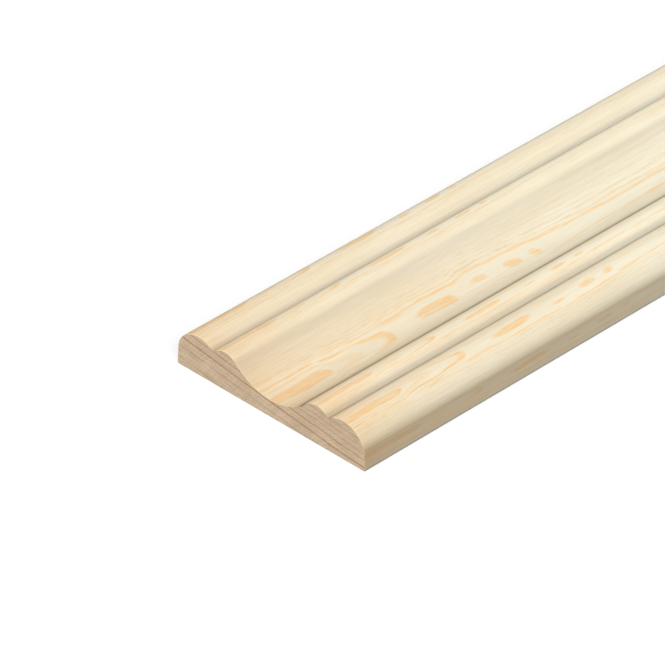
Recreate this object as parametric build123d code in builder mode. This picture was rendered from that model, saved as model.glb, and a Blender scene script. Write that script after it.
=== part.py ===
from build123d import *
import math
import os

# Pine cover moulding: one moulded length, lying on its flat back.
# X runs across the face, Y along the length, Z through the thickness.
# The origin is the middle of the back. All sizes are in millimetres.

length = 2100.0
width = 68.0  # across the back, its widest place
thickness = 12.0

# The face is symmetric about its centreline: a broad hollow, then on each side
# an inner bead, a V quirk, and an outer bead whose shoulder runs into the side.
hollow_floor = 5.2  # thickness left under the middle of the hollow
inner_bead_radius = 5.5
inner_bead_offset = 16.5  # centreline to the crest of the inner bead
outer_bead_radius = 8.0
outer_bead_offset = 26.1  # centreline to the crest of the outer bead
shoulder_radius = 3.5  # tighter curve between the outer bead and the side
side_batter = 3.0  # degrees by which the side leans in from the back
quirk_root_radius = 0.25  # tip of the cutter that parts the two beads
back_arris_radius = 0.4  # eased edge between the back and each side

# Every bead crests at the full thickness.
side_x = width / 2
inner_centre = Vector(inner_bead_offset, thickness - inner_bead_radius)
outer_centre = Vector(outer_bead_offset, thickness - outer_bead_radius)

# The hollow and the inner bead meet tangentially, with no flat between them, so
# their centres are one sum of radii apart. That gives the radius of the hollow.
bead_centre_rise = inner_centre.Y - hollow_floor
hollow_depth = thickness - hollow_floor
hollow_radius = (inner_bead_offset**2 + bead_centre_rise**2 - inner_bead_radius**2) / (2 * hollow_depth)
hollow_centre = Vector(0, hollow_floor + hollow_radius)

# The shoulder touches the side from within, and touches the outer bead from
# within, so its centre is one shoulder radius in from the side and one
# difference of radii from the centre of the bead.
side_foot = Vector(side_x, 0)
side_normal = Vector(1, 0).rotate(Axis.Z, side_batter)
up_the_side = Vector(0, 1).rotate(Axis.Z, side_batter)
radius_step = outer_bead_radius - shoulder_radius
inset = (side_foot - outer_centre).dot(side_normal) - shoulder_radius
rise = math.sqrt(radius_step**2 - inset**2)
shoulder_centre = outer_centre + side_normal * inset + up_the_side * rise
side_top = shoulder_centre + side_normal * shoulder_radius

# The quirk is where the circles of the two beads cross on the face.
between = outer_centre - inner_centre
centre_gap = between.length
along = (inner_bead_radius**2 - outer_bead_radius**2 + centre_gap**2) / (2 * centre_gap)
across = math.sqrt(inner_bead_radius**2 - along**2)
to_outer = between.normalized()
quirk = inner_centre + to_outer * along + to_outer.rotate(Axis.Z, 90) * across


def bearing(centre, point):
    """Angle in degrees at which a circle's centre sees a point."""
    return math.degrees(math.atan2(point.Y - centre.Y, point.X - centre.X))


hollow_edge = bearing(hollow_centre, inner_centre)
bead_edge = bearing(inner_centre, hollow_centre)
inner_quirk = bearing(inner_centre, quirk)
outer_quirk = bearing(outer_centre, quirk)
shoulder_edge = bearing(outer_centre, shoulder_centre)

with BuildPart() as moulding:
    with BuildSketch(Plane.XZ) as section:
        with BuildLine():
            Line((0, 0), side_foot)
            Line(side_foot, side_top)
            CenterArc(shoulder_centre, shoulder_radius, side_batter, shoulder_edge - side_batter)
            CenterArc(outer_centre, outer_bead_radius, shoulder_edge, outer_quirk - shoulder_edge)
            CenterArc(inner_centre, inner_bead_radius, inner_quirk, bead_edge - inner_quirk)
            CenterArc(hollow_centre, hollow_radius, hollow_edge, -90 - hollow_edge)
            mirror(about=Plane.YZ)
        make_face()
        quirk_roots = section.vertices().filter_by_position(Axis.Y, quirk.Y - 0.01, quirk.Y + 0.01)
        fillet(quirk_roots, radius=quirk_root_radius)
        back_corners = section.vertices().group_by(Axis.Y)[0].filter_by(lambda corner: abs(corner.X) > 1)
        fillet(back_corners, radius=back_arris_radius)
    extrude(amount=length / 2, both=True)

moulding.part.label = "moulding"

os.makedirs("parts", exist_ok=True)
export_step(moulding.part, "parts/moulding.step")

print(f"hollow radius {hollow_radius:.2f}, quirk at x {quirk.X:.2f}, z {quirk.Y:.2f}")
print(f"shoulder starts {90 - shoulder_edge:.1f} degrees over, side is {side_top.Y:.2f} high")
print(f"section area {section.sketch.area:.1f} square mm")
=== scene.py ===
"""The looks of a pine cover moulding: its planed face, flat back and sawn ends, and the studio round it."""
import logging
import math
from abc import ABC, abstractmethod
from dataclasses import dataclass
from enum import Enum, IntEnum
from typing import ClassVar

import bpy
import numpy as np
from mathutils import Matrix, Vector


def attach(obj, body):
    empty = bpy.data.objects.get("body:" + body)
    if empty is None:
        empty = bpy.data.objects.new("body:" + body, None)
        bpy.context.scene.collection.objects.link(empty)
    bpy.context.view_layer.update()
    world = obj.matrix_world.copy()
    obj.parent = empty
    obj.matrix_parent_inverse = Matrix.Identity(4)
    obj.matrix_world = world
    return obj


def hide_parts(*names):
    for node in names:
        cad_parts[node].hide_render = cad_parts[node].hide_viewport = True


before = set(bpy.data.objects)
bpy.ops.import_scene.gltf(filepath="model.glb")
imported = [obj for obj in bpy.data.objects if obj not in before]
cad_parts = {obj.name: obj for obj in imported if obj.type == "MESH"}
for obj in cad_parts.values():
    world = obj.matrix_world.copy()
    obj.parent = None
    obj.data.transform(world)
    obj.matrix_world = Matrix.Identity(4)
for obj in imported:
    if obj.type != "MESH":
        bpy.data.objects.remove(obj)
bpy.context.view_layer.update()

LOG = logging.getLogger("moulding")
MM = 0.001  # metres in a millimetre
FIGURE_MAP = "figure"
BAKE_MAP = "OFBake"
SHELTER = "shelter"
WHITE = (1.0, 1.0, 1.0)
FINE = 3.0  # octaves of the noise that draws fibres and the marks of tools

Colour = tuple[float, float, float]
Pair = tuple[float, float]
Triple = tuple[float, float, float]
Curve = tuple[Pair, ...]
Socket = bpy.types.NodeSocket
Value = float | tuple | Socket


class Zone(IntEnum):
    """The stretches of the section, each of which shows its own run of grain figure."""

    HOLLOW = 0
    INNER_BEAD = 1
    OUTER_BEAD = 2
    SIDE = 3
    BACK = 4


class Bend(Enum):
    """Which way an arc of the section curves: the value is the sign of its outward normal."""

    ROUND = 1.0
    HOLLOW = -1.0


class Finish(IntEnum):
    """The moulding's surfaces, in the order of its material slots."""

    PLANED = 0
    BACK = 1
    SAWN = 2


@dataclass(frozen=True)
class Arc:
    """One circular stretch of the section, in millimetres and degrees.

    Args:
        centre: x and z of the circle's centre.
        radius: Radius of the circle.
        start: Bearing from the centre at which the stretch starts.
        end: Bearing at which it ends.
        bend: Which side of the arc is wood.
        steps: Number of facets along it.
    """

    centre: Pair
    radius: float
    start: float
    end: float
    bend: Bend
    steps: int

    def trace(self) -> tuple[np.ndarray, np.ndarray]:
        """Points and outward normals: the centre plus the radius along evenly spaced bearings.

        Returns:
            Two arrays of (steps + 1, 2): the points, and the unit normals that point out of the wood.
        """
        turn = np.radians(np.linspace(self.start, self.end, self.steps + 1))
        spoke = np.stack([np.cos(turn), np.sin(turn)], axis=-1)
        return np.array(self.centre) + self.radius * spoke, spoke * self.bend.value


def bearing(centre: Pair, point: Pair) -> float:
    """Angle in degrees at which a centre sees a point."""
    return math.degrees(math.atan2(point[1] - centre[1], point[0] - centre[0]))


def crossing(left: Pair, left_radius: float, right: Pair, right_radius: float) -> Pair:
    """The upper of the two points where a circle crosses another one to the right of it.

    The point lies on the line of centres at the place where both radii close the triangle, then
    square to that line by what is left of the radius.

    Args:
        left: Centre of the left circle.
        left_radius: Its radius.
        right: Centre of the right circle.
        right_radius: Its radius.

    Returns:
        x and z of the crossing.
    """
    gap = math.dist(left, right)
    along = (left_radius**2 - right_radius**2 + gap**2) / (2 * gap)
    across = math.sqrt(left_radius**2 - along**2)
    ux, uz = (right[0] - left[0]) / gap, (right[1] - left[1]) / gap
    return left[0] + ux * along - uz * across, left[1] + uz * along + ux * across


@dataclass(frozen=True)
class Section:
    """The moulded section, in millimetres, symmetric about x = 0 and standing on its flat back.

    The hollow touches the inner beads, whose circles cross those of the outer beads in a V quirk,
    and each outer bead runs through a tighter shoulder into a side that leans in a little.

    Args:
        width: Width across the feet.
        thickness: Height of the beads above the back.
        hollow_floor: Height of the middle of the hollow.
        inner_radius: Radius of the inner beads.
        inner_offset: Distance of their centres from the middle.
        outer_radius: Radius of the outer beads.
        outer_offset: Distance of their centres from the middle.
        shoulder_radius: Radius where an outer bead turns into the side.
        side_batter: Angle in degrees at which the sides lean in.
        side_steps: Facets up the flat of a side.
        quirk_root_radius: Radius at the root of a quirk.
        back_arris_radius: Radius of the long edges at the back.
    """

    width: float = 68.0
    thickness: float = 12.0
    hollow_floor: float = 5.2
    inner_radius: float = 5.5
    inner_offset: float = 16.5
    outer_radius: float = 8.0
    outer_offset: float = 26.1
    shoulder_radius: float = 3.5
    side_batter: float = 3.0
    side_steps: int = 4
    quirk_root_radius: float = 0.25
    back_arris_radius: float = 0.4

    def half(self) -> list[tuple[Zone, np.ndarray, np.ndarray]]:
        """The right half of the face, from the middle of the hollow round to the back.

        Returns:
            For each stretch its zone, its points and its outward normals.
        """
        inner = (self.inner_offset, self.thickness - self.inner_radius)
        outer = (self.outer_offset, self.thickness - self.outer_radius)
        rise = inner[1] - self.hollow_floor
        depth = self.thickness - self.hollow_floor
        hollow_radius = (inner[0] ** 2 + rise**2 - self.inner_radius**2) / (2 * depth)
        hollow = (0.0, self.hollow_floor + hollow_radius)

        lean = math.radians(self.side_batter)
        normal, up = (math.cos(lean), math.sin(lean)), (-math.sin(lean), math.cos(lean))
        foot = self.width / 2
        inset = (foot - outer[0]) * normal[0] - outer[1] * normal[1] - self.shoulder_radius
        climb = math.sqrt((self.outer_radius - self.shoulder_radius) ** 2 - inset**2)
        shoulder = tuple(outer[i] + normal[i] * inset + up[i] * climb for i in (0, 1))

        root_radius = self.quirk_root_radius
        root = crossing(inner, self.inner_radius + root_radius, outer, self.outer_radius + root_radius)
        arris_radius = self.back_arris_radius
        arris = (foot - arris_radius * (1 + normal[1]) / normal[0], arris_radius)

        touch = bearing(hollow, inner)
        turn = bearing(outer, shoulder)
        round_, hollowed = Bend.ROUND, Bend.HOLLOW
        arcs = [
            (Zone.HOLLOW, Arc(hollow, hollow_radius, -90, touch, hollowed, 20)),
            (Zone.INNER_BEAD, Arc(inner, self.inner_radius, 180 + touch, bearing(inner, root), round_, 14)),
            (Zone.INNER_BEAD, Arc(root, root_radius, bearing(root, inner), -90, hollowed, 2)),
            (Zone.OUTER_BEAD, Arc(root, root_radius, -90, bearing(root, outer), hollowed, 2)),
            (Zone.OUTER_BEAD, Arc(outer, self.outer_radius, bearing(outer, root), turn, round_, 20)),
            (Zone.SIDE, Arc(shoulder, self.shoulder_radius, turn, self.side_batter, round_, 6)),
            (Zone.SIDE, Arc(arris, arris_radius, self.side_batter, -90, round_, 5)),
        ]
        stretches = [(zone, *arc.trace()) for zone, arc in arcs]
        side = np.linspace(stretches[-2][1][-1], stretches[-1][1][0], self.side_steps + 1)
        stretches.insert(-1, (Zone.SIDE, side, np.tile(normal, (len(side), 1))))
        return stretches


QUIRK: Pair = (20.77, 9.97)  # x and z in mm of the right quirk's root


@dataclass(frozen=True)
class HeartLine:
    """Where the heart of the grain figure runs in one zone.

    Args:
        place: Place of the heart line in mm: x, or z on a side.
        reach: Distance in mm from it to where the figure has run its full width, negative where
            the figure is turned over.
    """

    place: float
    reach: float


# The heart lies a little off the crest of each bead, on the left half more than on the right.
RIGHT_HEARTS = {
    Zone.HOLLOW: HeartLine(0.0, 12.6),
    Zone.INNER_BEAD: HeartLine(17.0, -4.1),
    Zone.OUTER_BEAD: HeartLine(27.6, -6.5),
    Zone.SIDE: HeartLine(3.9, 4.4),
    Zone.BACK: HeartLine(-4.0, 30.0),
}
LEFT_HEARTS = {
    **RIGHT_HEARTS,
    Zone.INNER_BEAD: HeartLine(-17.5, -4.1),
    Zone.OUTER_BEAD: HeartLine(-28.6, -6.5),
}


@dataclass
class Ring:
    """The closed outline of the section, clockwise as seen from the near end.

    It runs over the face from the left foot to the right foot and back along the flat.

    Args:
        points: x and z of its points, in mm.
        normals: Outward normals at the points.
        zones: Zone of the facet that starts at each point.
        left: Whether that facet lies in the left half of the face.
        face_points: How many of the points belong to the face, both feet included.
    """

    points: np.ndarray
    normals: np.ndarray
    zones: np.ndarray
    left: np.ndarray
    face_points: int
    least_step: ClassVar[float] = 0.25  # added to each step of the flat before they are fitted to its width

    @classmethod
    def of(cls, section: Section) -> "Ring":
        """Mirrors the right half, and gives the flat a point below each point of the face.

        The points on the flat are spread by the square root of each step across the face, with a
        little added, so that straight lines join the two sides without crossing.

        Args:
            section: The section to trace.

        Returns:
            The outline.
        """
        half = section.half()
        flip = np.array([-1.0, 1.0])
        points = np.concatenate([points[:-1] for _, points, _ in half] + [half[-1][1][-1:]])
        normals = np.concatenate([slopes[:-1] for _, _, slopes in half] + [half[-1][2][-1:]])
        zones = np.concatenate([np.full(len(points) - 1, zone) for zone, points, _ in half])
        face = np.concatenate([points[::-1] * flip, points[1:]])
        slopes = np.concatenate([normals[::-1] * flip, normals[1:]])

        step = np.sqrt(np.hypot(*np.diff(face, axis=0).T)) + cls.least_step
        share = np.concatenate([[0.0], np.cumsum(step)]) / step.sum()
        flat_x = (face[0, 0] + share * (face[-1, 0] - face[0, 0]))[1:-1][::-1]
        flat = np.stack([flat_x, np.zeros_like(flat_x)], axis=-1)
        down = np.tile([0.0, -1.0], (len(flat), 1))
        behind = np.full(len(flat) + 1, Zone.BACK)
        left = np.arange(len(face) + len(flat)) < len(zones)
        return cls(
            points=np.concatenate([face, flat]),
            normals=np.concatenate([slopes, down]),
            zones=np.concatenate([zones[::-1], zones, behind]),
            left=left,
            face_points=len(face),
        )

    def below(self) -> np.ndarray:
        """For each point of the face, the index of its partner on the flat, or itself at a foot."""
        partner = (len(self.points) - np.arange(self.face_points)) % len(self.points)
        partner[0], partner[-1] = 0, self.face_points - 1
        return partner

    def shelter(self) -> np.ndarray:
        """How far the outline shuts in each of its points: 0 in the open, 1 at the bottom of a slit.

        Seen from a point of the face, each other point stands at an angle to the outward normal.
        The least of these angles on either side bounds the open fan, and the open share of the
        light from all round is the mean of the sines of the two bounds.

        Returns:
            One value for each point, 0 along the flat.
        """
        face, normals = self.points[: self.face_points], self.normals[: self.face_points]
        step = face[None] - face[:, None]
        rise = (step * normals[:, None]).sum(-1)
        run = step[..., 0] * normals[:, None, 1] - step[..., 1] * normals[:, None, 0]
        angle = np.minimum(np.arctan2(np.abs(run), rise), math.pi / 2)
        order = np.arange(len(face))
        later = order[None] > order[:, None]
        earlier = order[None] < order[:, None]
        bounds = [np.where(side, angle, math.pi / 2).min(axis=1) for side in (later, earlier)]
        shut = 1 - np.sin(bounds).mean(axis=0)
        return np.concatenate([shut, np.zeros(len(self.points) - len(face))])

    def girth(self) -> np.ndarray:
        """Distance walked round the outline to each point and back to the first, as a share of it."""
        closed = np.concatenate([self.points, self.points[:1]])
        walked = np.concatenate([[0.0], np.cumsum(np.hypot(*np.diff(closed, axis=0).T))])
        return walked / walked[-1]


@dataclass
class Faces:
    """Faces of one finish, with all that their corners carry.

    Args:
        corners: Vertex indices, (faces, corners).
        finish: The surface they belong to.
        normals: Corner normals, (faces, corners, 3).
        figure: Corner places in the grain figure, (faces, corners, 2).
        bake: Corner places in the map for the bake, (faces, corners, 2).
    """

    corners: np.ndarray
    finish: np.ndarray
    normals: np.ndarray
    figure: np.ndarray
    bake: np.ndarray

    def reversed(self) -> "Faces":
        """The same faces seen from the other side."""
        turned = [part[:, ::-1] for part in (self.normals, self.figure, self.bake)]
        return Faces(self.corners[:, ::-1], self.finish, *turned)


@dataclass
class Moulding:
    """The one piece of stock: the section carried along a straight length, with both ends sawn square.

    Args:
        section: The moulded section.
        length: Length of the stock, in mm.
        end_ease: Mean radius of the worn edge round a sawn end, in mm, where it meets the face.
        foot_ease: That radius along the sides and the back.
        ease_heights: Heights in mm between which the one radius passes into the other.
        raggedness: How much the radius varies round the section, as a share of it.
        saw_waves: Sines that it varies by: share, turn from point to point, and turn of the first.
        ease_steps: Facets round the worn edge.
        end_rows: Rows of faces across the thickness of a sawn end.
        end_gap: Distance in mm from an end to the first ring of vertices past its worn edge.
        ring_gap: Spacing of the rings of vertices along the length, in mm.
        bake_gap: Space between the islands of the map for the bake, as a share of it.
        bake_faces: Share of that map's height which the long faces take.
    """

    section: Section
    length: float = 2100.0
    end_ease: float = 0.2
    foot_ease: float = 0.05
    ease_heights: Pair = (6.0, 9.0)
    raggedness: float = 0.4
    saw_waves: tuple[Triple, ...] = ((0.6, 2.1, 0.0), (0.4, 0.83, 1.3))
    ease_steps: int = 4
    end_rows: int = 8
    end_gap: float = 2.0
    ring_gap: float = 14.0
    bake_gap: float = 0.008
    bake_faces: float = 0.84

    def build(self) -> bpy.types.Object:
        """Makes the mesh, hangs it under the root body and hides the imported part that it stands for.

        Returns:
            The moulding's object.
        """
        ring = Ring.of(self.section)
        along, turned = self.stations()
        shell = self.shell_points(ring, along, turned)
        vertices = np.concatenate([shell.reshape(-1, 3), *self.end_points(ring, shell)])
        groups = [self.shell_faces(ring, along, turned)]
        for far in (False, True):
            groups += self.end_faces(ring, len(along), far, vertices)
        # shelter of each point, which the face's material turns into painted shade in the recesses
        shelter = np.zeros(len(vertices))
        shelter[: shell.size // 3] = np.tile(ring.shelter(), len(along))
        piece = self.to_object(vertices, groups, shelter)
        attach(piece, "root")
        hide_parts("moulding")
        return piece

    def stations(self) -> tuple[np.ndarray, np.ndarray]:
        """Places of the rings of vertices along the length.

        Round a worn end they follow a quarter circle: turned by an angle from the end face, a ring
        lies one ease less its cosine from the end, and is drawn in by one ease less its sine.

        Returns:
            Distance of each ring from the near end in mm, and the angle it has turned, in radians.
        """
        turn = np.linspace(0, math.pi / 2, self.ease_steps + 1)
        from_end = self.end_ease * (1 - np.cos(turn))
        count = round(self.length / self.ring_gap)
        middle = np.linspace(self.end_gap, self.length - self.end_gap, count)
        along = np.concatenate([from_end, middle, self.length - from_end[::-1]])
        turned = np.concatenate([turn, np.full(count, math.pi / 2), turn[::-1]])
        return along, turned

    def shell_points(self, ring: Ring, along: np.ndarray, turned: np.ndarray) -> np.ndarray:
        """Vertices of the long faces: the outline at each station, drawn in along its normals at the ends.

        How far it is drawn in varies round the outline as a sum of two sines, as a saw leaves it.

        Args:
            ring: The outline.
            along: Distance of each station from the near end.
            turned: How far round the worn edge each station is.

        Returns:
            Array of (stations, points, 3), in mm.
        """
        walk = np.arange(len(ring.points))
        wave = sum(share * np.sin(walk * turn + first) for share, turn, first in self.saw_waves)
        low, high = self.ease_heights
        moulded = np.clip((ring.points[:, 1] - low) / (high - low), 0, 1)
        ease = self.foot_ease + (self.end_ease - self.foot_ease) * moulded
        inward = (1 - np.sin(turned))[:, None] * (ease * (1 + self.raggedness * wave))[None]
        place = ring.points[None] - ring.normals[None] * inward[..., None]
        lengthwise = np.broadcast_to((along - self.length / 2)[:, None], inward.shape)
        return np.stack([place[..., 0], lengthwise, place[..., 1]], axis=-1)

    def end_points(self, ring: Ring, shell: np.ndarray) -> list[np.ndarray]:
        """Inner vertices of both ends: even shares of each line from the flat up to the face."""
        low, count = ring.below(), ring.face_points
        share = (np.arange(1, self.end_rows) / self.end_rows)[:, None, None]
        return [
            (edge[low][None, 1:-1] * (1 - share) + edge[None, 1 : count - 1] * share).reshape(-1, 3)
            for edge in (shell[0], shell[-1])
        ]

    def shell_faces(self, ring: Ring, along: np.ndarray, turned: np.ndarray) -> Faces:
        """Quads of the long faces, with normals worked out from the section rather than the facets.

        Args:
            ring: The outline.
            along: Distance of each station from the near end.
            turned: How far round the worn edge each station is.

        Returns:
            The faces.
        """
        stations, count = len(along), len(ring.points)
        station, facet, corner = np.indices((stations - 1, count, 4))
        ahead = (corner == 1) | (corner == 2)
        point, row = (facet + ahead) % count, station + (corner >= 2)
        zone, side = ring.zones[facet], ring.left[facet].astype(int)

        end_sign = np.where(row < stations / 2, -1.0, 1.0)
        sine, cosine = np.sin(turned[row]), np.cos(turned[row])
        slope = ring.normals[point]
        normals = np.stack([slope[..., 0] * sine, end_sign * cosine, slope[..., 1] * sine], axis=-1)

        halves = (RIGHT_HEARTS, LEFT_HEARTS)
        hearts = np.array([[(half[z].place, half[z].reach) for z in Zone] for half in halves])
        heart, reach = np.moveaxis(hearts[side, zone], -1, 0)
        spot = ring.points[point]
        across = (np.where(zone == Zone.SIDE, spot[..., 1], spot[..., 0]) - heart) / reach
        seed = (zone + len(Zone) * side) / (2 * len(Zone))

        gap = self.bake_gap
        u = gap + (1 - 2 * gap) * along[row] / self.length
        v = gap + (self.bake_faces - 2 * gap) * ring.girth()[facet + ahead]
        finish = np.where(ring.zones == Zone.BACK, int(Finish.BACK), int(Finish.PLANED))
        return Faces(
            corners=(row * count + point).reshape(-1, 4),
            finish=np.tile(finish, stations - 1),
            normals=normals.reshape(-1, 4, 3),
            figure=np.stack([across, seed], axis=-1).reshape(-1, 4, 2),
            bake=np.stack([u, v], axis=-1).reshape(-1, 4, 2),
        )

    def end_faces(self, ring: Ring, stations: int, far: bool, vertices: np.ndarray) -> list[Faces]:
        """Fills one sawn end with columns of quads, and with triangles at the two feet.

        Args:
            ring: The outline.
            stations: Number of rings of vertices.
            far: Whether it is the far end.
            vertices: All vertices, in mm.

        Returns:
            The quads and the triangles.
        """
        count, columns = len(ring.points), ring.face_points
        first = (stations - 1) * count if far else 0
        inner = (self.end_rows - 1) * (columns - 2)
        start = stations * count + (inner if far else 0)
        grid = np.empty((self.end_rows + 1, columns), dtype=int)
        grid[0], grid[-1] = first + ring.below(), first + np.arange(columns)
        grid[1:-1, 1:-1] = start + np.arange(inner).reshape(self.end_rows - 1, columns - 2)
        grid[:, 0], grid[:, -1] = first, first + columns - 1
        quads = np.stack([grid[:-1, 1:-2], grid[:-1, 2:-1], grid[1:, 2:-1], grid[1:, 1:-2]], axis=-1)
        left = np.stack([grid[:-1, 0], grid[:-1, 1], grid[1:, 1]], axis=-1)
        right = np.stack([grid[:-1, -2], grid[:-1, -1], grid[1:, -2]], axis=-1)
        shapes = (quads.reshape(-1, 4), np.concatenate([left, right]))
        made = [self.sawn(corners, far, vertices) for corners in shapes]
        return [faces.reversed() for faces in made] if far else made

    def sawn(self, corners: np.ndarray, far: bool, vertices: np.ndarray) -> Faces:
        """Dresses faces of a sawn end.

        Args:
            corners: Vertex indices of the faces.
            far: Whether it is the far end.
            vertices: All vertices, in mm.

        Returns:
            The faces with a flat normal, beside those of the other end in the map for the bake.
        """
        spots = vertices[corners]
        normals = np.zeros(spots.shape)
        normals[..., 1] = 1.0 if far else -1.0
        gap, half = self.bake_gap, 0.5
        u = gap + (half - 2 * gap) * (spots[..., 0] / self.section.width + half) + (half if far else 0.0)
        v = self.bake_faces + gap + (1 - self.bake_faces - 2 * gap) * spots[..., 2] / self.section.thickness
        return Faces(
            corners=corners,
            finish=np.full(len(corners), int(Finish.SAWN)),
            normals=normals,
            figure=np.zeros((*corners.shape, 2)),
            bake=np.stack([u, v], axis=-1),
        )

    def to_object(self, vertices: np.ndarray, groups: list[Faces], shelter: np.ndarray) -> bpy.types.Object:
        """Writes the arrays into one mesh, whole arrays at a time.

        Args:
            vertices: Vertices in mm.
            groups: The faces that fill the mesh.
            shelter: How far the section shuts in each vertex.

        Returns:
            The object, at the origin, with its materials.
        """
        sizes = np.concatenate([np.full(len(group.corners), group.corners.shape[1]) for group in groups])
        corners = np.concatenate([group.corners.ravel() for group in groups])
        finish = np.concatenate([group.finish for group in groups])
        normals = np.concatenate([group.normals.reshape(-1, 3) for group in groups])
        figure = np.concatenate([group.figure.ravel() for group in groups])
        bake = np.concatenate([group.bake.ravel() for group in groups])
        mesh = bpy.data.meshes.new("pine_moulding")
        mesh.vertices.add(len(vertices))
        mesh.vertices.foreach_set("co", (vertices * MM).astype(np.float32).ravel())
        mesh.loops.add(len(corners))
        mesh.loops.foreach_set("vertex_index", corners.astype(np.int32))
        mesh.polygons.add(len(sizes))
        mesh.polygons.foreach_set("loop_start", (np.cumsum(sizes) - sizes).astype(np.int32))
        mesh.polygons.foreach_set("material_index", finish.astype(np.int32))
        mesh.polygons.foreach_set("use_smooth", np.ones(len(sizes), dtype=bool))
        for name, places in ((FIGURE_MAP, figure), (BAKE_MAP, bake)):
            layer = mesh.uv_layers.new(name=name)
            layer.data.foreach_set("uv", places.astype(np.float32))
        layer = mesh.attributes.new(SHELTER, "FLOAT", "POINT")
        layer.data.foreach_set("value", shelter.astype(np.float32))
        mesh.update(calc_edges=True)
        mesh.validate()
        mesh.normals_split_custom_set(normals.tolist())
        for surface in (PlanedPine(), PlanedBack(), SawnPine()):
            mesh.materials.append(surface.build())
        return add_object("pine_moulding", mesh)


def add_object(name: str, data: bpy.types.ID) -> bpy.types.Object:
    """Puts a new object into the scene."""
    added = bpy.data.objects.new(name, data)
    bpy.context.scene.collection.objects.link(added)
    return added


class Graph:
    """Adds nodes to one node tree and wires them up, so that a pattern reads as arithmetic."""

    def __init__(self, tree: bpy.types.NodeTree) -> None:
        """Args:
            tree: The tree to fill.
        """
        self.tree = tree

    def node(self, kind: str, **settings: object) -> bpy.types.Node:
        """Adds a node of a kind, with its settings."""
        node = self.tree.nodes.new(kind)
        for name, value in settings.items():
            setattr(node, name, value)
        return node

    def feed(self, socket: Socket, value: Value) -> None:
        """Links a socket to another, or sets the number or colour that it holds."""
        if isinstance(value, Socket):
            self.tree.links.new(value, socket)
        elif socket.type == "RGBA":
            socket.default_value = (*value, 1.0)
        else:
            socket.default_value = value

    def maths(self, operation: str, *values: Value) -> Socket:
        """Result of one arithmetic operation."""
        node = self.node("ShaderNodeMath", operation=operation)
        for socket, value in zip(node.inputs, values):
            self.feed(socket, value)
        return node.outputs[0]

    def add(self, *values: Value) -> Socket:
        """Sum of any number of values."""
        total = values[0]
        for value in values[1:]:
            total = self.maths("ADD", total, value)
        return total

    def times(self, *values: Value) -> Socket:
        """Product of any number of values."""
        total = values[0]
        for value in values[1:]:
            total = self.maths("MULTIPLY", total, value)
        return total

    def minus(self, value: Value, taken: Value) -> Socket:
        """A value less another one."""
        return self.maths("SUBTRACT", value, taken)

    def distance(self, x: Socket, z: Socket, centre: Pair) -> Socket:
        """Distance across the section from a point of it."""
        away = [self.minus(part, middle) for part, middle in zip((x, z), centre)]
        return self.maths("SQRT", self.add(*[self.times(part, part) for part in away]))

    def waves(self, value: Socket, length: float) -> Socket:
        """A sine of a value, with waves of a length."""
        return self.maths("SINE", self.times(value, 2 * math.pi / length))

    def stretched(self, place: Socket, sizes: Triple) -> Socket:
        """A place counted in features of these sizes along x, y and z."""
        node = self.node("ShaderNodeVectorMath", operation="MULTIPLY")
        self.feed(node.inputs[0], place)
        self.feed(node.inputs[1], tuple(1 / size for size in sizes))
        return node.outputs[0]

    def point(self, x: Value, y: Value, z: Value) -> Socket:
        """A vector of three values."""
        node = self.node("ShaderNodeCombineXYZ")
        for socket, value in zip(node.inputs, (x, y, z)):
            self.feed(socket, value)
        return node.outputs[0]

    def split(self, vector: Socket) -> tuple[Socket, Socket, Socket]:
        """The three parts of a vector."""
        node = self.node("ShaderNodeSeparateXYZ")
        self.feed(node.inputs[0], vector)
        return tuple(node.outputs)

    def sway(self, place: Socket, amount: Value, detail: float = 2.0) -> Socket:
        """Smooth noise about zero, with features about one unit wide, that reaches about the amount."""
        node = self.node("ShaderNodeTexNoise")
        self.feed(node.inputs["Vector"], place)
        node.inputs["Scale"].default_value = 1.0
        node.inputs["Detail"].default_value = detail
        return self.times(self.minus(node.outputs["Fac"], 0.5), 2.0, amount)

    def ease(self, value: Value, low: Value, high: Value, start: Value = 0.0, end: Value = 1.0) -> Socket:
        """Runs smoothly from start to end as the value goes from low to high, and stays there."""
        node = self.node("ShaderNodeMapRange", interpolation_type="SMOOTHSTEP")
        for name, given in (
            ("Value", value), ("From Min", low), ("From Max", high), ("To Min", start), ("To Max", end),
        ):
            self.feed(node.inputs[name], given)
        return node.outputs["Result"]

    def curve(self, value: Value, points: Curve, smooth: bool = True) -> Socket:
        """A curve drawn through points: their x is in the value's units, their y in the result's.

        Args:
            value: What is looked up.
            points: The points, from left to right.
            smooth: Whether the curve bends through them rather than runs straight between them.

        Returns:
            The height of the curve, which stays level beyond its ends.
        """
        xs, ys = zip(*points)
        low, span = xs[0], xs[-1] - xs[0]
        base, rise = min(ys), max(ys) - min(ys)
        node = self.node("ShaderNodeFloatCurve")
        line = node.mapping.curves[0]
        for index, (x, y) in enumerate(points):
            place = ((x - low) / span, (y - base) / rise)
            if index in (0, 1):
                line.points[index].location = place
            else:
                line.points.new(*place)
        for knot in line.points:
            knot.handle_type = "AUTO_CLAMPED" if smooth else "VECTOR"
        node.mapping.extend = "HORIZONTAL"
        node.mapping.update()
        self.feed(node.inputs["Value"], self.maths("DIVIDE", self.minus(value, low), span))
        return self.add(self.times(node.outputs[0], rise), base)

    def steps(self, value: Value, heights: tuple[float, ...]) -> Socket:
        """One height for each whole number that the value has passed, beginning with zero."""
        node = self.node("ShaderNodeValToRGB")
        ramp = node.color_ramp
        ramp.interpolation = "CONSTANT"
        for index, height in enumerate(heights):
            place = index / len(heights)
            stop = ramp.elements[0] if index == 0 else ramp.elements.new(place)
            stop.position = place
            stop.color = (height, height, height, 1.0)
        ramp.elements.remove(ramp.elements[-1])
        self.feed(node.inputs[0], self.maths("DIVIDE", value, len(heights)))
        return node.outputs[0]

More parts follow.
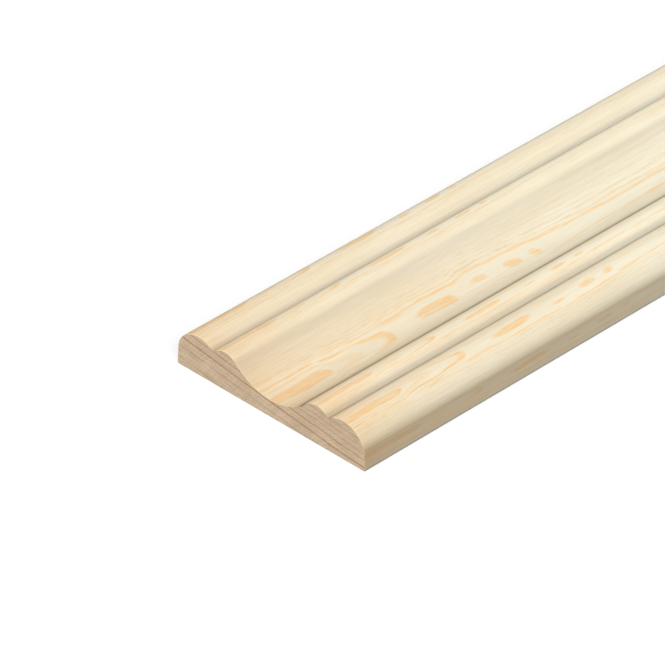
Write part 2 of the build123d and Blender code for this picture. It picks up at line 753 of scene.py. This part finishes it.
    def mix(self, factor: Value, first: Value, second: Value, blend: str = "MIX") -> Socket:
        """One colour laid over another by a factor."""
        node = self.node("ShaderNodeMix", data_type="RGBA", blend_type=blend)
        colours = [socket for socket in node.inputs if socket.type == "RGBA"]
        self.feed(node.inputs[0], factor)
        self.feed(colours[0], first)
        self.feed(colours[1], second)
        return next(socket for socket in node.outputs if socket.type == "RGBA")

    def tint(self, colour: Socket, cast: Value, strength: Value = 1.0) -> Socket:
        """A colour multiplied by another one, as far as the strength says."""
        return self.mix(strength, colour, cast, "MULTIPLY")

    def grey(self, level: Socket) -> Socket:
        """A level as a neutral colour."""
        node = self.node("ShaderNodeCombineColor")
        for socket in node.inputs:
            self.feed(socket, level)
        return node.outputs[0]

    def place(self) -> Socket:
        """The place on the piece in mm, with y counted from the near end."""
        scale = self.node("ShaderNodeVectorMath", operation="MULTIPLY_ADD")
        self.feed(scale.inputs[0], self.node("ShaderNodeTexCoord").outputs["Object"])
        scale.inputs[1].default_value = (1 / MM, 1 / MM, 1 / MM)
        scale.inputs[2].default_value = (0.0, Moulding.length / 2, 0.0)
        return scale.outputs[0]


class Pattern(ABC):
    """An effect that several finishes share, as a node group of colours and values."""

    title: ClassVar[str]
    takes: ClassVar[tuple[str, ...]]
    gives: ClassVar[tuple[str, ...]]
    vectors: ClassVar[tuple[str, ...]] = ("Place",)

    @abstractmethod
    def draw(self, graph: Graph, *inputs: Socket) -> tuple[Socket, ...]:
        """Fills the group.

        Args:
            graph: The group's nodes.
            inputs: One socket for each name in takes.

        Returns:
            One socket for each name in gives.
        """

    def tree(self) -> bpy.types.NodeTree:
        """The node group, made the first time it is asked for."""
        made = bpy.data.node_groups.get(self.title)
        if made:
            return made
        tree = bpy.data.node_groups.new(self.title, "ShaderNodeTree")
        for names, direction in ((self.takes, "INPUT"), (self.gives, "OUTPUT")):
            for name in names:
                kind = "NodeSocketVector" if name in self.vectors else "NodeSocketFloat"
                tree.interface.new_socket(name, in_out=direction, socket_type=kind)
        graph = Graph(tree)
        source, sink = graph.node("NodeGroupInput"), graph.node("NodeGroupOutput")
        drawn = self.draw(graph, *[source.outputs[name] for name in self.takes])
        for name, socket in zip(self.gives, drawn):
            tree.links.new(socket, sink.inputs[name])
        return tree

    def use(self, graph: Graph, *values: Value) -> tuple[Socket, ...]:
        """Puts the group into a tree.

        Args:
            graph: Where it goes.
            values: One value for each name in takes.

        Returns:
            Its outputs, in the order of gives.
        """
        node = graph.node("ShaderNodeGroup", node_tree=self.tree())
        for name, value in zip(self.takes, values):
            graph.feed(node.inputs[name], value)
        return tuple(node.outputs[name] for name in self.gives)


class RingTone(Pattern):
    """How dark each growth ring is: it darkens slowly into its latewood and pales again at the next.

    A ring reaches from one whole number to the next one, where its dark edge lies. Each has a strength
    of its own: the first twelve are those of the face's figure, the next twelve those of the stock.
    """

    title = "ring tone"
    takes = ("Ring", "Latewood", "Edge")
    gives = ("Dark",)
    rise: ClassVar[float] = 0.3  # share of a ring over which it darkens
    darkest: ClassVar[float] = 0.86  # share of a ring by which it is darkest
    face: ClassVar[tuple[float, ...]] = (
        0.5, 0.74, 0.38, 0.84, 0.74, 0.46, 0.36, 0.22, 0.16, 0.13, 0.08, 0.0,
    )
    stock: ClassVar[tuple[float, ...]] = (
        0.5, 0.35, 0.3, 1.0, 0.72, 0.58, 0.38, 0.66, 0.4, 0.5, 0.4, 0.4,
    )

    def draw(self, graph: Graph, *inputs: Socket) -> tuple[Socket, ...]:
        """Product of the rise into the latewood, the fall at the ring's edge, and the ring's strength."""
        ring, latewood, edge = inputs
        part = graph.maths("FRACT", ring)
        dark_by = graph.maths("MINIMUM", graph.add(latewood, self.rise), self.darkest)
        rise = graph.ease(part, latewood, dark_by)
        fall = graph.ease(part, edge, 1.0, 1.0, 0.0)
        return (graph.times(rise, fall, graph.steps(ring, self.face + self.stock)),)


class FaceFigure(Pattern):
    """The cathedral figure of a planed face, as a field of ring numbers.

    Along the heart line the ring number is a curve: where it crosses a whole number an arch closes,
    and where it dips just under one and comes back, an oval island lies. From the heart out to the
    first straight line the number grows with a power of the distance, and beyond it evenly, to the
    same number all along the edge of the face. The heart wanders, and streaks of fibre feather the
    edges of every ring. Beyond the heart the rings are fainter than on the near side of it. The
    curves are drawn near one end, and slow noise takes over from them as far as the other.
    """

    title = "face figure"
    takes = ("Across", "Place", "Seed")
    gives = ("Ring", "Latewood", "Weight")
    reach: ClassVar[float] = 12.6  # mm on the widest face that the map's unit stands for
    straight_ring: ClassVar[float] = 5.0  # number of the first straight line
    last_ring: ClassVar[float] = 11.5  # number reached at the edge of the face
    highest: ClassVar[float] = 11.9  # number that no place goes past, within the last of the face's rings
    drawn: ClassVar[Pair] = (170.0, 190.0)  # mm from the near end between which noise takes over
    heart: ClassVar[Curve] = (
        (0, 1.56), (10, 1.6), (18, 1.66), (19.6, 1.8), (20.8, 2.0), (25, 2.45), (32.3, 3.0), (38.5, 3.34),
        (41.5, 3.64), (43.5, 4.0), (47, 4.25), (50, 4.2), (52, 4.0), (53.5, 3.9), (56, 3.8), (60, 3.74),
        (64, 3.78), (66.3, 3.9), (67.7, 4.0), (70, 4.12), (72.5, 4.03), (73.5, 4.0), (75, 3.95), (77, 3.9),
        (78.8, 3.94), (79.8, 4.0), (82.5, 4.2), (85.2, 4.0), (86.5, 3.89), (88, 3.83), (90, 3.86),
        (91.7, 4.0), (93, 4.08), (94.2, 4.0), (95.3, 3.89), (96.3, 3.84), (97.3, 3.89), (98.4, 4.0),
        (104, 4.3), (118, 4.25),
    )  # ring number on the heart line, by mm from the near end
    path: ClassVar[Curve] = (
        (0, 1.3), (10, 1.6), (20, 1.7), (28, 2.0), (38, 1.7), (43, 1.3), (50, 0.9), (58, 0.6), (66, 0.8),
        (72, 0.1), (77, -0.3), (82, 0.2), (89, 0.9), (96, 1.2), (106, 1.0), (118, 0.8),
    )  # place of the heart line, in mm
    line: ClassVar[Curve] = (
        (0, 6.9), (10, 6.7), (20, 6.6), (30, 6.2), (37, 5.4), (50, 5.1), (58, 5.05), (66, 5.15), (72, 4.8),
        (77, 4.75), (82, 5.35), (89, 5.5), (100, 4.7), (110, 3.8), (118, 3.1),
    )  # distance from the heart to the first straight line, in mm
    bend: ClassVar[Curve] = (
        (0, 1.6), (10, 1.85), (18, 2.2), (21.5, 1.6), (26, 1.8), (32, 2.6), (38, 2.2), (43, 2.4), (50, 2.2),
        (118, 2.1),
    )  # power of the distance
    heart_drift: ClassVar[Triple] = (62.0, 3.9, 1.9)  # noise: length in mm, middle and swing
    path_drift: ClassVar[Triple] = (45.0, 0.2, 1.6)
    line_drift: ClassVar[Triple] = (90.0, 4.4, 2.6)
    drift_seed: ClassVar[float] = 7.0
    fading: ClassVar[Pair] = (2.4, 4.0)  # mm past the heart over which the rings grow fainter
    faintness: ClassVar[Curve] = ((0, 0.15), (25, 0.3), (45, 0.55), (118, 0.6))
    latewood: ClassVar[Pair] = (0.36, 0.48)  # where it starts in rings that close, and in straight ones
    arched: ClassVar[Pair] = (3.98, 4.02)  # ring numbers between which the one passes into the other
    strands: ClassVar[tuple[tuple[float, float, float, float], ...]] = (
        (1.7, 17.0, 0.9, 0.1), (0.5, 6.0, 1.1, 0.15),
    )  # width and length in mm, shift of the figure in mm and of the ring number
    ripple_length: ClassVar[float] = 24.0  # mm
    ripple_count: ClassVar[float] = 4.0  # across the map's unit
    ripple_seed: ClassVar[float] = 4.0
    ripple_swing: ClassVar[float] = 0.08  # rings

    def draw(self, graph: Graph, *inputs: Socket) -> tuple[Socket, ...]:
        """The heart's number, and the growth from it to the straight line and on to the edge.

        Returns:
            The ring number, the share of a ring at which its latewood starts, and how much it shows.
        """
        across, place, seed = inputs
        _, along, _ = graph.split(place)
        beyond = graph.ease(along, *self.drawn)
        heart = self.followed(graph, along, beyond, self.heart, self.heart_drift)
        path = self.followed(graph, along, beyond, self.path, self.path_drift)
        line = self.followed(graph, along, beyond, self.line, self.line_drift)

        shifts, lifts = [], []
        for width, length, shift, lift in self.strands:
            lengthwise, crosswise = graph.times(along, 1 / length), graph.times(across, self.reach / width)
            strand = graph.sway(graph.point(lengthwise, crosswise, seed), 1.0, FINE)
            shifts.append(graph.times(strand, shift))
            lifts.append(graph.times(strand, lift))
        offset = graph.add(graph.times(across, self.reach), graph.times(path, -1.0), *shifts)
        away = graph.maths("ABSOLUTE", offset)

        ratio = graph.maths("MINIMUM", graph.maths("DIVIDE", away, line), 1.0)
        growth = graph.maths("POWER", ratio, graph.curve(along, self.bend))
        inside = graph.times(graph.minus(self.straight_ring, heart), growth)
        past = graph.maths("MAXIMUM", graph.minus(away, line), 0.0)
        share = graph.maths("DIVIDE", past, graph.minus(self.reach, line))
        outside = graph.times(share, self.last_ring - self.straight_ring)
        ripple = graph.point(
            graph.times(along, 1 / self.ripple_length),
            graph.times(across, self.ripple_count),
            graph.add(seed, self.ripple_seed),
        )
        grown = graph.add(heart, inside, outside, graph.sway(ripple, self.ripple_swing), *lifts)
        ring = graph.maths("MINIMUM", grown, self.highest)
        latewood = graph.ease(ring, *self.arched, *self.latewood)
        faint = graph.minus(1.0, graph.curve(along, self.faintness))
        return ring, latewood, graph.ease(offset, *self.fading, 1.0, faint)

    def followed(self, graph: Graph, along: Socket, beyond: Socket, points: Curve, drift: Triple) -> Socket:
        """A curve along the length that gives way to slow noise.

        Args:
            graph: The group's nodes.
            along: Distance from the near end.
            beyond: How far the noise has taken over.
            points: The curve.
            drift: Length of the noise's waves in mm, its middle and its swing.

        Returns:
            Height of the curve, or the noise's.
        """
        length, middle, swing = drift
        curve = graph.curve(along, points)
        noise = graph.sway(graph.point(graph.times(along, 1 / length), middle, self.drift_seed), swing)
        return graph.add(curve, graph.times(beyond, graph.minus(graph.add(noise, middle), curve)))


class GrowthField(Pattern):
    """The growth rings as they lie through the stock, cut by its ends and its back.

    They are almost flat, rise to the left and bow up a little at both sides, so the ring number is a
    curve of the height above one strong ring. They waver a little, and roll slowly along the length.
    """

    title = "growth field"
    takes = ("Place",)
    gives = ("Ring",)
    slope: ClassVar[float] = 0.122  # fall of the rings in mm for each mm to the right
    bow: ClassVar[float] = -0.0004  # mm of height for each square mm from the middle, where the rings rise
    strong_height: ClassVar[float] = 5.25  # mm above the back at which the strong ring crosses the middle
    wavers: ClassVar[tuple[tuple[Triple, float], ...]] = (
        ((15.0, 40.0, 9.0), 0.45), ((2.5, 20.0, 1.5), 0.22),
    )  # sizes along x, y and z and swing, in mm
    roll: ClassVar[Triple] = (260.0, 70.0, 3.4)  # length, width and swing of the roll, in mm
    roll_seed: ClassVar[float] = 2.5
    roll_start: ClassVar[Pair] = (0.0, 160.0)  # mm from the near end over which it sets in
    rings: ClassVar[Curve] = (
        (-14.5, 12), (-10.5, 13), (-6.6, 14), (-2.9, 15), (0.0, 16), (2.4, 17), (4.25, 18), (5.85, 19),
        (7.65, 20), (9.3, 21), (11.0, 22), (12.6, 23),
    )

    def draw(self, graph: Graph, *inputs: Socket) -> tuple[Socket, ...]:
        """Height above the strong ring, wavered, through the curve of ring numbers."""
        (place,) = inputs
        x, y, z = graph.split(place)
        wavers = [graph.sway(graph.stretched(place, sizes), swing) for sizes, swing in self.wavers]
        length, width, swing = self.roll
        roll = graph.point(graph.times(y, 1 / length), graph.times(x, 1 / width), self.roll_seed)
        rolled = graph.times(graph.sway(roll, swing), graph.ease(y, *self.roll_start))
        bowed = graph.times(x, x, self.bow)
        height = graph.add(z, graph.times(x, self.slope), bowed, -self.strong_height, *wavers, rolled)
        return (graph.curve(height, self.rings, smooth=False),)


class Fibre(Pattern):
    """Fine streaks of fibre and broad slow bands of tone, both drawn out along the length."""

    title = "fibre"
    takes = ("Place",)
    gives = ("Streak", "Band", "Fleck")
    coarse: ClassVar[Triple] = (0.8, 42.0, 0.8)  # sizes along x, y and z in mm
    coarse_swing: ClassVar[float] = 0.8
    fine: ClassVar[Triple] = (0.35, 9.0, 0.35)
    broad: ClassVar[Triple] = (9.0, 60.0, 9.0)
    short: ClassVar[Triple] = (0.7, 4.5, 0.7)

    def draw(self, graph: Graph, *inputs: Socket) -> tuple[Socket, ...]:
        """Coarse and fine noise added for the streaks, broad noise for the bands, short for the flecks."""
        (place,) = inputs
        coarse = graph.sway(graph.stretched(place, self.coarse), self.coarse_swing, FINE)
        fine = graph.sway(graph.stretched(place, self.fine), 1.0, FINE)
        band = graph.sway(graph.stretched(place, self.broad), 1.0)
        fleck = graph.sway(graph.stretched(place, self.short), 1.0, FINE)
        return graph.add(coarse, fine), band, fleck


def principled(
    name: str, roughness: float, shine: float,
) -> tuple[bpy.types.Material, Graph, bpy.types.Node]:
    """Starts a material.

    Args:
        name: Its name.
        roughness: How matt it is.
        shine: Strength of its reflection.

    Returns:
        The material, its graph and its shader.
    """
    material = bpy.data.materials.new(name)
    material.use_nodes = True
    shader = material.node_tree.nodes["Principled BSDF"]
    shader.inputs["Roughness"].default_value = roughness
    shader.inputs["Specular IOR Level"].default_value = shine
    return material, Graph(material.node_tree), shader


@dataclass(frozen=True)
class Pine(ABC):
    """What all surfaces of the pine share.

    Args:
        early: Colour of the soft earlywood.
        pale: Colour of its palest bands.
        late: Colour of the latewood.
        bands: Levels of the broad bands between which the earlywood goes from soft to palest.
        ring_edge: Share of a ring at which its latewood begins to give way to the next ring.
        roughness: How matt the surface is.
        shine: Strength of its reflection.
        depth: Depth of its relief, in mm.
        shares: Share of that depth that each of the relief's three layers has.
    """

    early: Colour = (0.88, 0.75, 0.525)
    pale: Colour = (0.90, 0.795, 0.59)
    late: Colour = (0.93, 0.625, 0.30)
    bands: Pair = (-0.3, 0.5)
    ring_edge: float = 0.86
    roughness: float = 0.7
    shine: float = 0.08
    depth: float = 0.03
    shares: Triple = (0.5, 0.5, 0.12)

    @abstractmethod
    def build(self) -> bpy.types.Material:
        """Makes the material."""

    def wood(self, graph: Graph, paleness: Socket, dark: Socket) -> Socket:
        """Colour of the wood, by how pale its earlywood is and how dark its rings are."""
        return graph.mix(dark, graph.mix(paleness, self.early, self.pale), self.late)

    def relief(self, graph: Graph, shader: bpy.types.Node, *layers: Socket) -> None:
        """Raises the surface by the sum of the layers."""
        bump = graph.node("ShaderNodeBump")
        bump.inputs["Distance"].default_value = self.depth * MM
        height = graph.add(*[graph.times(layer, share) for layer, share in zip(layers, self.shares)])
        graph.feed(bump.inputs["Height"], height)
        graph.feed(shader.inputs["Normal"], bump.outputs[0])


@dataclass(frozen=True)
class PlanedPine(Pine):
    """The moulded face and the sides, cut clean by a planer: figure, fibres and a trace of cutter marks.

    Args:
        cutter_pitch: Spacing in mm of the marks that the cutter leaves along the length.
        streak: How much the streaks of fibre change the tone.
        mottle: How much the fibre breaks up the figure, as a share of its darkness.
        figured: Ring numbers between which the pale ground of the figure ends.
        figured_pale: How pale that ground is.
        straight: Ring numbers between which the straight lines beside the figure begin.
        brown: How much they darken the wood, beyond their own colour.
        quirk_shade: How much darker the root of a quirk is painted, as painted shade.
        quirk_shade_reach: Distances in mm from the root between which that painted shade fades.
        recess_shade: Tint of painted shade where the section shuts itself in.
        recess_shade_reach: Amounts of shelter between which that painted shade comes in.
        flank_shade: Tint of painted shade on the steep flanks, the sides of the quirks and the shoulders.
        flank_shading: Strength of that painted shade by the place across the face, in mm.
        warm: Cast of the wood where it is warmest, beside the near end.
        cool: Cast of the wood where it is palest.
        warmth: How far the cast has gone from cool to warm, by the distance from the near end in mm.
        side_figure: How much of the figure's darkness the sides show.
        side_reach: Distances in mm from the middle between which it falls to that.
        amber: Cast of the wood on the sides, which is a little yellower.
        amber_reach: Distances in mm from the middle between which that cast comes in.
        amber_heights: Heights in mm between which it comes in from below.
        foot: Tone of painted contact shade at the feet of the sides.
        foot_reach: Heights in mm between which that painted shade fades.
    """

    cutter_pitch: float = 1.6
    streak: float = 0.08
    mottle: float = 1.0
    figured: Pair = (4.5, 5.3)
    figured_pale: float = 0.9
    straight: Pair = (4.9, 5.3)
    brown: float = 0.12
    quirk_shade: float = 0.14
    quirk_shade_reach: Pair = (0.2, 1.7)
    recess_shade: Colour = (0.81, 0.81, 0.84)
    recess_shade_reach: Pair = (0.04, 0.2)
    flank_shade: Colour = (0.50, 0.45, 0.375)
    flank_shading: Curve = (
        (-33.4, 0.0), (-32.4, 0.4), (-31.2, 0.42), (-30.6, 0.3), (-30.0, 0.1), (-29.5, 0.0), (-24.0, 0.0),
        (-23.3, 0.12), (-22.6, 0.1), (-22.0, 0.0), (-21.4, 0.0), (-20.9, 0.26), (-20.2, 0.24), (-19.5, 0.0),
        (8.2, 0.0), (9.3, 0.16), (10.2, 0.62), (10.9, 0.95), (11.6, 0.93), (12.2, 0.84), (13.0, 0.52),
        (13.7, 0.0), (20.5, 0.0), (21.0, 0.5), (21.7, 0.4), (22.7, 0.06), (23.3, 0.0), (32.7, 0.0),
        (33.2, 0.15), (33.6, 0.25), (33.8, 0.1), (34.0, 0.0),
    )
    warm: Colour = (0.944, 0.873, 0.811)
    cool: Colour = (1.007, 1.065, 1.138)
    warmth: Curve = (
        (0.0, 1.1), (3.0, 1.0), (7.5, 0.8), (15.0, 0.66), (25.0, 0.51), (45.0, 0.42), (65.0, 0.36),
        (80.0, 0.25), (95.0, 0.19), (112.0, 0.05),
    )
    side_figure: float = 0.65
    side_reach: Pair = (32.0, 33.6)
    amber: Colour = (1.065, 1.015, 0.95)
    amber_reach: Pair = (33.55, 33.7)
    amber_heights: Pair = (0.9, 2.6)
    foot: float = 0.5
    foot_reach: Pair = (0.1, 0.9)

    def build(self) -> bpy.types.Material:
        """Makes the material."""
        material, graph, shader = principled("planed pine", self.roughness, self.shine)
        place = graph.place()
        x, along, z = graph.split(place)
        outward = graph.maths("ABSOLUTE", x)
        across, seed, _ = graph.split(graph.node("ShaderNodeUVMap", uv_map=FIGURE_MAP).outputs[0])
        ring, latewood, weight = FaceFigure().use(graph, across, place, seed)
        (full,) = RingTone().use(graph, ring, latewood, self.ring_edge)
        streak, band, fleck = Fibre().use(graph, place)
        turned = graph.ease(outward, *self.side_reach, 1.0, self.side_figure)
        dark = graph.times(full, weight, turned, graph.add(1.0, graph.times(fleck, self.mottle)))

        within = graph.ease(ring, *self.figured, self.figured_pale, 0.0)
        paleness = graph.maths("MAXIMUM", graph.ease(band, *self.bands), within)
        lines = graph.times(dark, graph.ease(ring, *self.straight), -self.brown)
        texture = graph.add(1.0, graph.times(streak, self.streak), lines)
        # painted shade that darkens the wood towards the root of each quirk
        from_quirk = graph.distance(outward, z, QUIRK)
        quirk_shaded = graph.ease(from_quirk, *self.quirk_shade_reach, 1 - self.quirk_shade, 1.0)
        toned = graph.tint(self.wood(graph, paleness, dark), graph.grey(graph.times(texture, quirk_shaded)))
        # painted shade on the flanks beside the quirks, on the shoulders, and most on the hollow's right
        # flank, which faces away from the light
        flank_shaded = graph.tint(toned, self.flank_shade, graph.curve(x, self.flank_shading, smooth=False))

        cast = graph.mix(graph.curve(along, self.warmth), self.cool, self.warm)
        on_side = graph.times(graph.ease(outward, *self.amber_reach), graph.ease(z, *self.amber_heights))
        tinted = graph.tint(flank_shaded, graph.tint(cast, self.amber, on_side))
        # painted contact shade along the feet of the sides
        foot_shaded = graph.tint(tinted, graph.grey(graph.ease(z, *self.foot_reach, self.foot, 1.0)))
        # painted shade in the recesses, by how far the section shuts in each point
        shelter = graph.node("ShaderNodeAttribute", attribute_name=SHELTER).outputs["Fac"]
        recess_shade_mask = graph.ease(shelter, *self.recess_shade_reach)
        graph.feed(shader.inputs["Base Color"], graph.tint(foot_shaded, self.recess_shade, recess_shade_mask))
        self.relief(graph, shader, streak, dark, graph.waves(along, self.cutter_pitch))
        return material


@dataclass(frozen=True)
class PlanedBack(Pine):
    """The flat back, planed coarser than the face, with the rings of the stock running out along it.

    Args:
        cutter_pitch: Spacing in mm of the marks that the cutter leaves along the length.
        tone: Tone of the wood, a little darker than the face.
        streak: How much the streaks of fibre change it.
        mottle: How much the fibre breaks up the rings, as a share of their darkness.
        strength: How much stronger the rings show here than on a sawn end.
        ring_start: Where in each ring the latewood starts.
    """

    ring_edge: float = 0.97
    roughness: float = 0.75
    depth: float = 0.04
    shares: Triple = (0.7, 0.5, 0.3)
    cutter_pitch: float = 3.2
    tone: float = 0.97
    streak: float = 0.11
    mottle: float = 0.6
    strength: float = 2.0
    ring_start: float = 0.5

    def build(self) -> bpy.types.Material:
        """Makes the material."""
        material, graph, shader = principled("planed pine back", self.roughness, self.shine)
        place = graph.place()
        _, along, _ = graph.split(place)
        (ring,) = GrowthField().use(graph, place)
        (full,) = RingTone().use(graph, ring, self.ring_start, self.ring_edge)
        streak, band, fleck = Fibre().use(graph, place)
        dark = graph.times(full, self.strength, graph.add(1.0, graph.times(fleck, self.mottle)))
        wood = self.wood(graph, graph.ease(band, *self.bands), dark)
        texture = graph.grey(graph.add(self.tone, graph.times(streak, self.streak)))
        graph.feed(shader.inputs["Base Color"], graph.tint(wood, texture))
        self.relief(graph, shader, streak, dark, graph.waves(along, self.cutter_pitch))
        return material


@dataclass(frozen=True)
class SawnPine(Pine):
    """A sawn end: end grain, darker than the face, with its rings and the fine arcs of the saw.

    Args:
        ring_start: Where in each ring the thin dark latewood starts.
        patch: Width and height in mm of the broad bands of tone.
        patch_seed: Which cut through their noise the end shows.
        saw_centre: x and z in mm of the blade's middle, in the plane of the cut.
        saw_pitch: Spacing of the arcs, in mm.
        saw_run: Distance in mm over which an arc changes.
        saw: How much the arcs change the tone.
        pore: Sizes of the pores in mm, along x, y and z.
        pores: How much they change the tone.
        layer: Width in mm and thickness in rings of the thin layers within a ring.
        layer_seed: Which cut through their noise the end shows.
        layers: How much they change the tone.
        bottom_shade: Tone of painted contact shade along the lower edge.
        bottom_shade_height: Height in mm at which that painted shade ends.
    """

    early: Colour = (0.80, 0.60, 0.405)
    pale: Colour = (0.86, 0.665, 0.465)
    late: Colour = (0.59, 0.345, 0.17)
    bands: Pair = (-0.5, 0.6)
    roughness: float = 0.85
    depth: float = 0.05
    shares: Triple = (0.6, 0.4, 0.4)
    ring_start: float = 0.68
    patch: Pair = (8.0, 5.0)
    patch_seed: float = 5.0
    saw_centre: Pair = (82.0, -88.0)
    saw_pitch: float = 0.42
    saw_run: float = 7.0
    saw: float = 0.16
    pore: Triple = (0.4, 1.0, 0.28)
    pores: float = 0.4
    layer: Pair = (6.5, 0.17)
    layer_seed: float = 3.0
    layers: float = 0.33
    bottom_shade: float = 0.8
    bottom_shade_height: float = 0.45

    def build(self) -> bpy.types.Material:
        """Makes the material."""
        material, graph, shader = principled("sawn pine end", self.roughness, self.shine)
        place = graph.place()
        x, _, z = graph.split(place)
        (ring,) = GrowthField().use(graph, place)
        (dark,) = RingTone().use(graph, ring, self.ring_start, self.ring_edge)
        turns = graph.times(graph.distance(x, z, self.saw_centre), 1 / self.saw_pitch)
        run = 1 / self.saw_run
        arcs = graph.sway(graph.point(turns, graph.times(x, run), graph.times(z, run)), 1.0, FINE)
        pores = graph.sway(graph.stretched(place, self.pore), 1.0)
        layers = graph.sway(self.cut(graph, (x, ring), self.layer, self.layer_seed), 1.0, FINE)
        band = graph.sway(self.cut(graph, (x, z), self.patch, self.patch_seed), 1.0)
        tones = ((arcs, self.saw), (pores, self.pores), (layers, self.layers))
        texture = graph.add(1.0, *[graph.times(mark, amount) for mark, amount in tones])
        # painted contact shade along the lower edge of the end
        edge = graph.ease(z, 0.0, self.bottom_shade_height, self.bottom_shade, 1.0)
        wood = self.wood(graph, graph.ease(band, *self.bands), dark)
        graph.feed(shader.inputs["Base Color"], graph.tint(wood, graph.grey(graph.times(texture, edge))))
        self.relief(graph, shader, arcs, pores, dark)
        return material

    def cut(self, graph: Graph, parts: tuple[Socket, Socket], sizes: Pair, seed: float) -> Socket:
        """A place for noise in the plane of the end, counted in features of two sizes."""
        wide, high = (graph.times(part, 1 / size) for part, size in zip(parts, sizes))
        return graph.point(wide, seed, high)


@dataclass(frozen=True)
class Lamp:
    """A distant lamp.

    Args:
        name: Its name.
        light: How strongly it falls along each axis, as light on a face turned that way.
        spread: Its width in degrees as the object sees it.
        distance: How far it hangs from the object's middle, in m.
    """

    name: str
    light: Triple
    spread: float
    distance: float = 3.0

    def build(self) -> None:
        """Hangs the lamp, whose strength is pi where a white surface that faces it is 1."""
        lamp = bpy.data.lights.new(self.name, "SUN")
        toward = Vector(self.light)
        lamp.energy = math.pi * toward.length
        lamp.angle = math.radians(self.spread)
        holder = add_object(self.name, lamp)
        holder.rotation_mode = "QUATERNION"
        holder.rotation_quaternion = toward.to_track_quat("Z", "Y")
        holder.location = toward.normalized() * self.distance


@dataclass(frozen=True)
class Studio:
    """White surroundings with light from above, from the right, and a little from the left and behind.

    Args:
        lamps: The lamps.
        sky: Light that the surroundings send to the object, where 1 is white.
        floor_bounce: Share of the light that the floor throws back onto the object.
        floor_glow: Share of the floor's white that shadows leave untouched.
        floor_size: Width of the floor in m.
        floor_gap: How far the floor lies below the object's back, in mm, so that the two stay apart.
    """

    lamps: tuple[Lamp, ...] = (
        Lamp("above", (0.049, -0.36, 0.545), 20.0),
        Lamp("right", (0.367, -0.20, 0.348), 20.0),
        Lamp("left", (-0.169, -0.085, 0.062), 40.0),
        Lamp("behind", (0.0, 0.26, 0.02), 40.0),
    )
    sky: float = 0.03
    floor_bounce: float = 0.05
    floor_glow: float = 0.72
    floor_size: float = 14.0
    floor_gap: float = 0.02

    def build(self) -> None:
        """Makes the lamps, the world and the floor."""
        for lamp in self.lamps:
            lamp.build()
        self.world()
        self.floor()

    def seen_directly(self, graph: Graph) -> Socket:
        """1 for rays from the camera or from a mirror or glass, 0 for the rest."""
        path = graph.node("ShaderNodeLightPath")
        seen = graph.maths("MAXIMUM", path.outputs["Is Camera Ray"], path.outputs["Is Glossy Ray"])
        return graph.maths("MAXIMUM", seen, path.outputs["Is Transmission Ray"])

    def world(self) -> None:
        """White where it is seen, and a dim white sky where it lights."""
        world = bpy.data.worlds.new("studio")
        world.use_nodes = True
        graph = Graph(world.node_tree)
        background = world.node_tree.nodes["Background"]
        background.inputs["Color"].default_value = (*WHITE, 1.0)
        seen = self.seen_directly(graph)
        graph.feed(background.inputs["Strength"], graph.add(self.sky, graph.times(seen, 1 - self.sky)))
        bpy.context.scene.world = world

    def floor(self) -> None:
        """A white floor that the object lies on, and that throws little of the light back."""
        half = self.floor_size / 2
        mesh = bpy.data.meshes.new("floor")
        outline = [(-half, -half, 0), (half, -half, 0), (half, half, 0), (-half, half, 0)]
        mesh.from_pydata(outline, [], [(0, 1, 2, 3)])
        material, graph, shader = principled("floor", 1.0, 0.0)
        bounce, lit = (self.floor_bounce,) * 3, (1 - self.floor_glow,) * 3
        seen = self.seen_directly(graph)
        graph.feed(shader.inputs["Base Color"], graph.mix(seen, bounce, lit))
        shader.inputs["Emission Color"].default_value = (*WHITE, 1.0)
        graph.feed(shader.inputs["Emission Strength"], graph.times(seen, self.floor_glow))
        mesh.materials.append(material)
        ground = add_object("floor", mesh)
        ground.location.z = -self.floor_gap * MM


@dataclass(frozen=True)
class Viewpoint:
    """The camera, in mm and degrees, placed from the middle of the near end's lower edge.

    Args:
        azimuth: Turn of the view from straight along the length.
        elevation: Height of the camera above the horizon.
        distance: Distance of the camera from that point, along the view.
        shift_right: How far it is moved to its own right.
        shift_up: How far it is moved up the picture.
        focal_length: Focal length of the lens.
        sensor: Width of the sensor.
        clip: Nearest and farthest distance that it sees, in m.
    """

    azimuth: float = 45.0
    elevation: float = 34.836
    distance: float = 1904.97
    shift_right: float = 15.849
    shift_up: float = 21.518
    focal_length: float = 404.21
    sensor: float = 36.0
    clip: Pair = (0.1, 100.0)

    def build(self) -> None:
        """Makes the camera."""
        turn, rise = math.radians(self.azimuth), math.radians(self.elevation)
        right = Vector((math.cos(turn), math.sin(turn), 0))
        back = Vector((math.sin(turn) * math.cos(rise), -math.cos(turn) * math.cos(rise), math.sin(rise)))
        up = back.cross(right)
        place = Vector((0, -Moulding.length / 2, 0))
        place += right * self.shift_right + up * self.shift_up + back * self.distance
        lens = bpy.data.cameras.new("camera")
        lens.lens = self.focal_length
        lens.sensor_width = self.sensor
        lens.clip_start, lens.clip_end = self.clip
        camera = add_object("camera", lens)
        camera.location = place * MM
        camera.rotation_mode = "QUATERNION"
        camera.rotation_quaternion = back.to_track_quat("Z", "Y")
        bpy.context.scene.camera = camera


def corners(box: tuple[Vector, Vector]) -> list[list[float]]:
    """The lowest and highest corner of a box as plain lists of numbers."""
    return [list(corner) for corner in box]


def main() -> None:
    """Builds the moulding, the studio and the camera."""
    logging.basicConfig(level=logging.INFO, format="%(message)s")
    bpy.context.scene.view_settings.view_transform = "Standard"
    piece = Moulding(Section()).build()
    LOG.info("%s: %d vertices, %d faces", piece.name, len(piece.data.vertices), len(piece.data.polygons))
    Studio().build()
    LOG.info("studio and floor")
    Viewpoint().build()


if __name__ == "__main__":
    main()
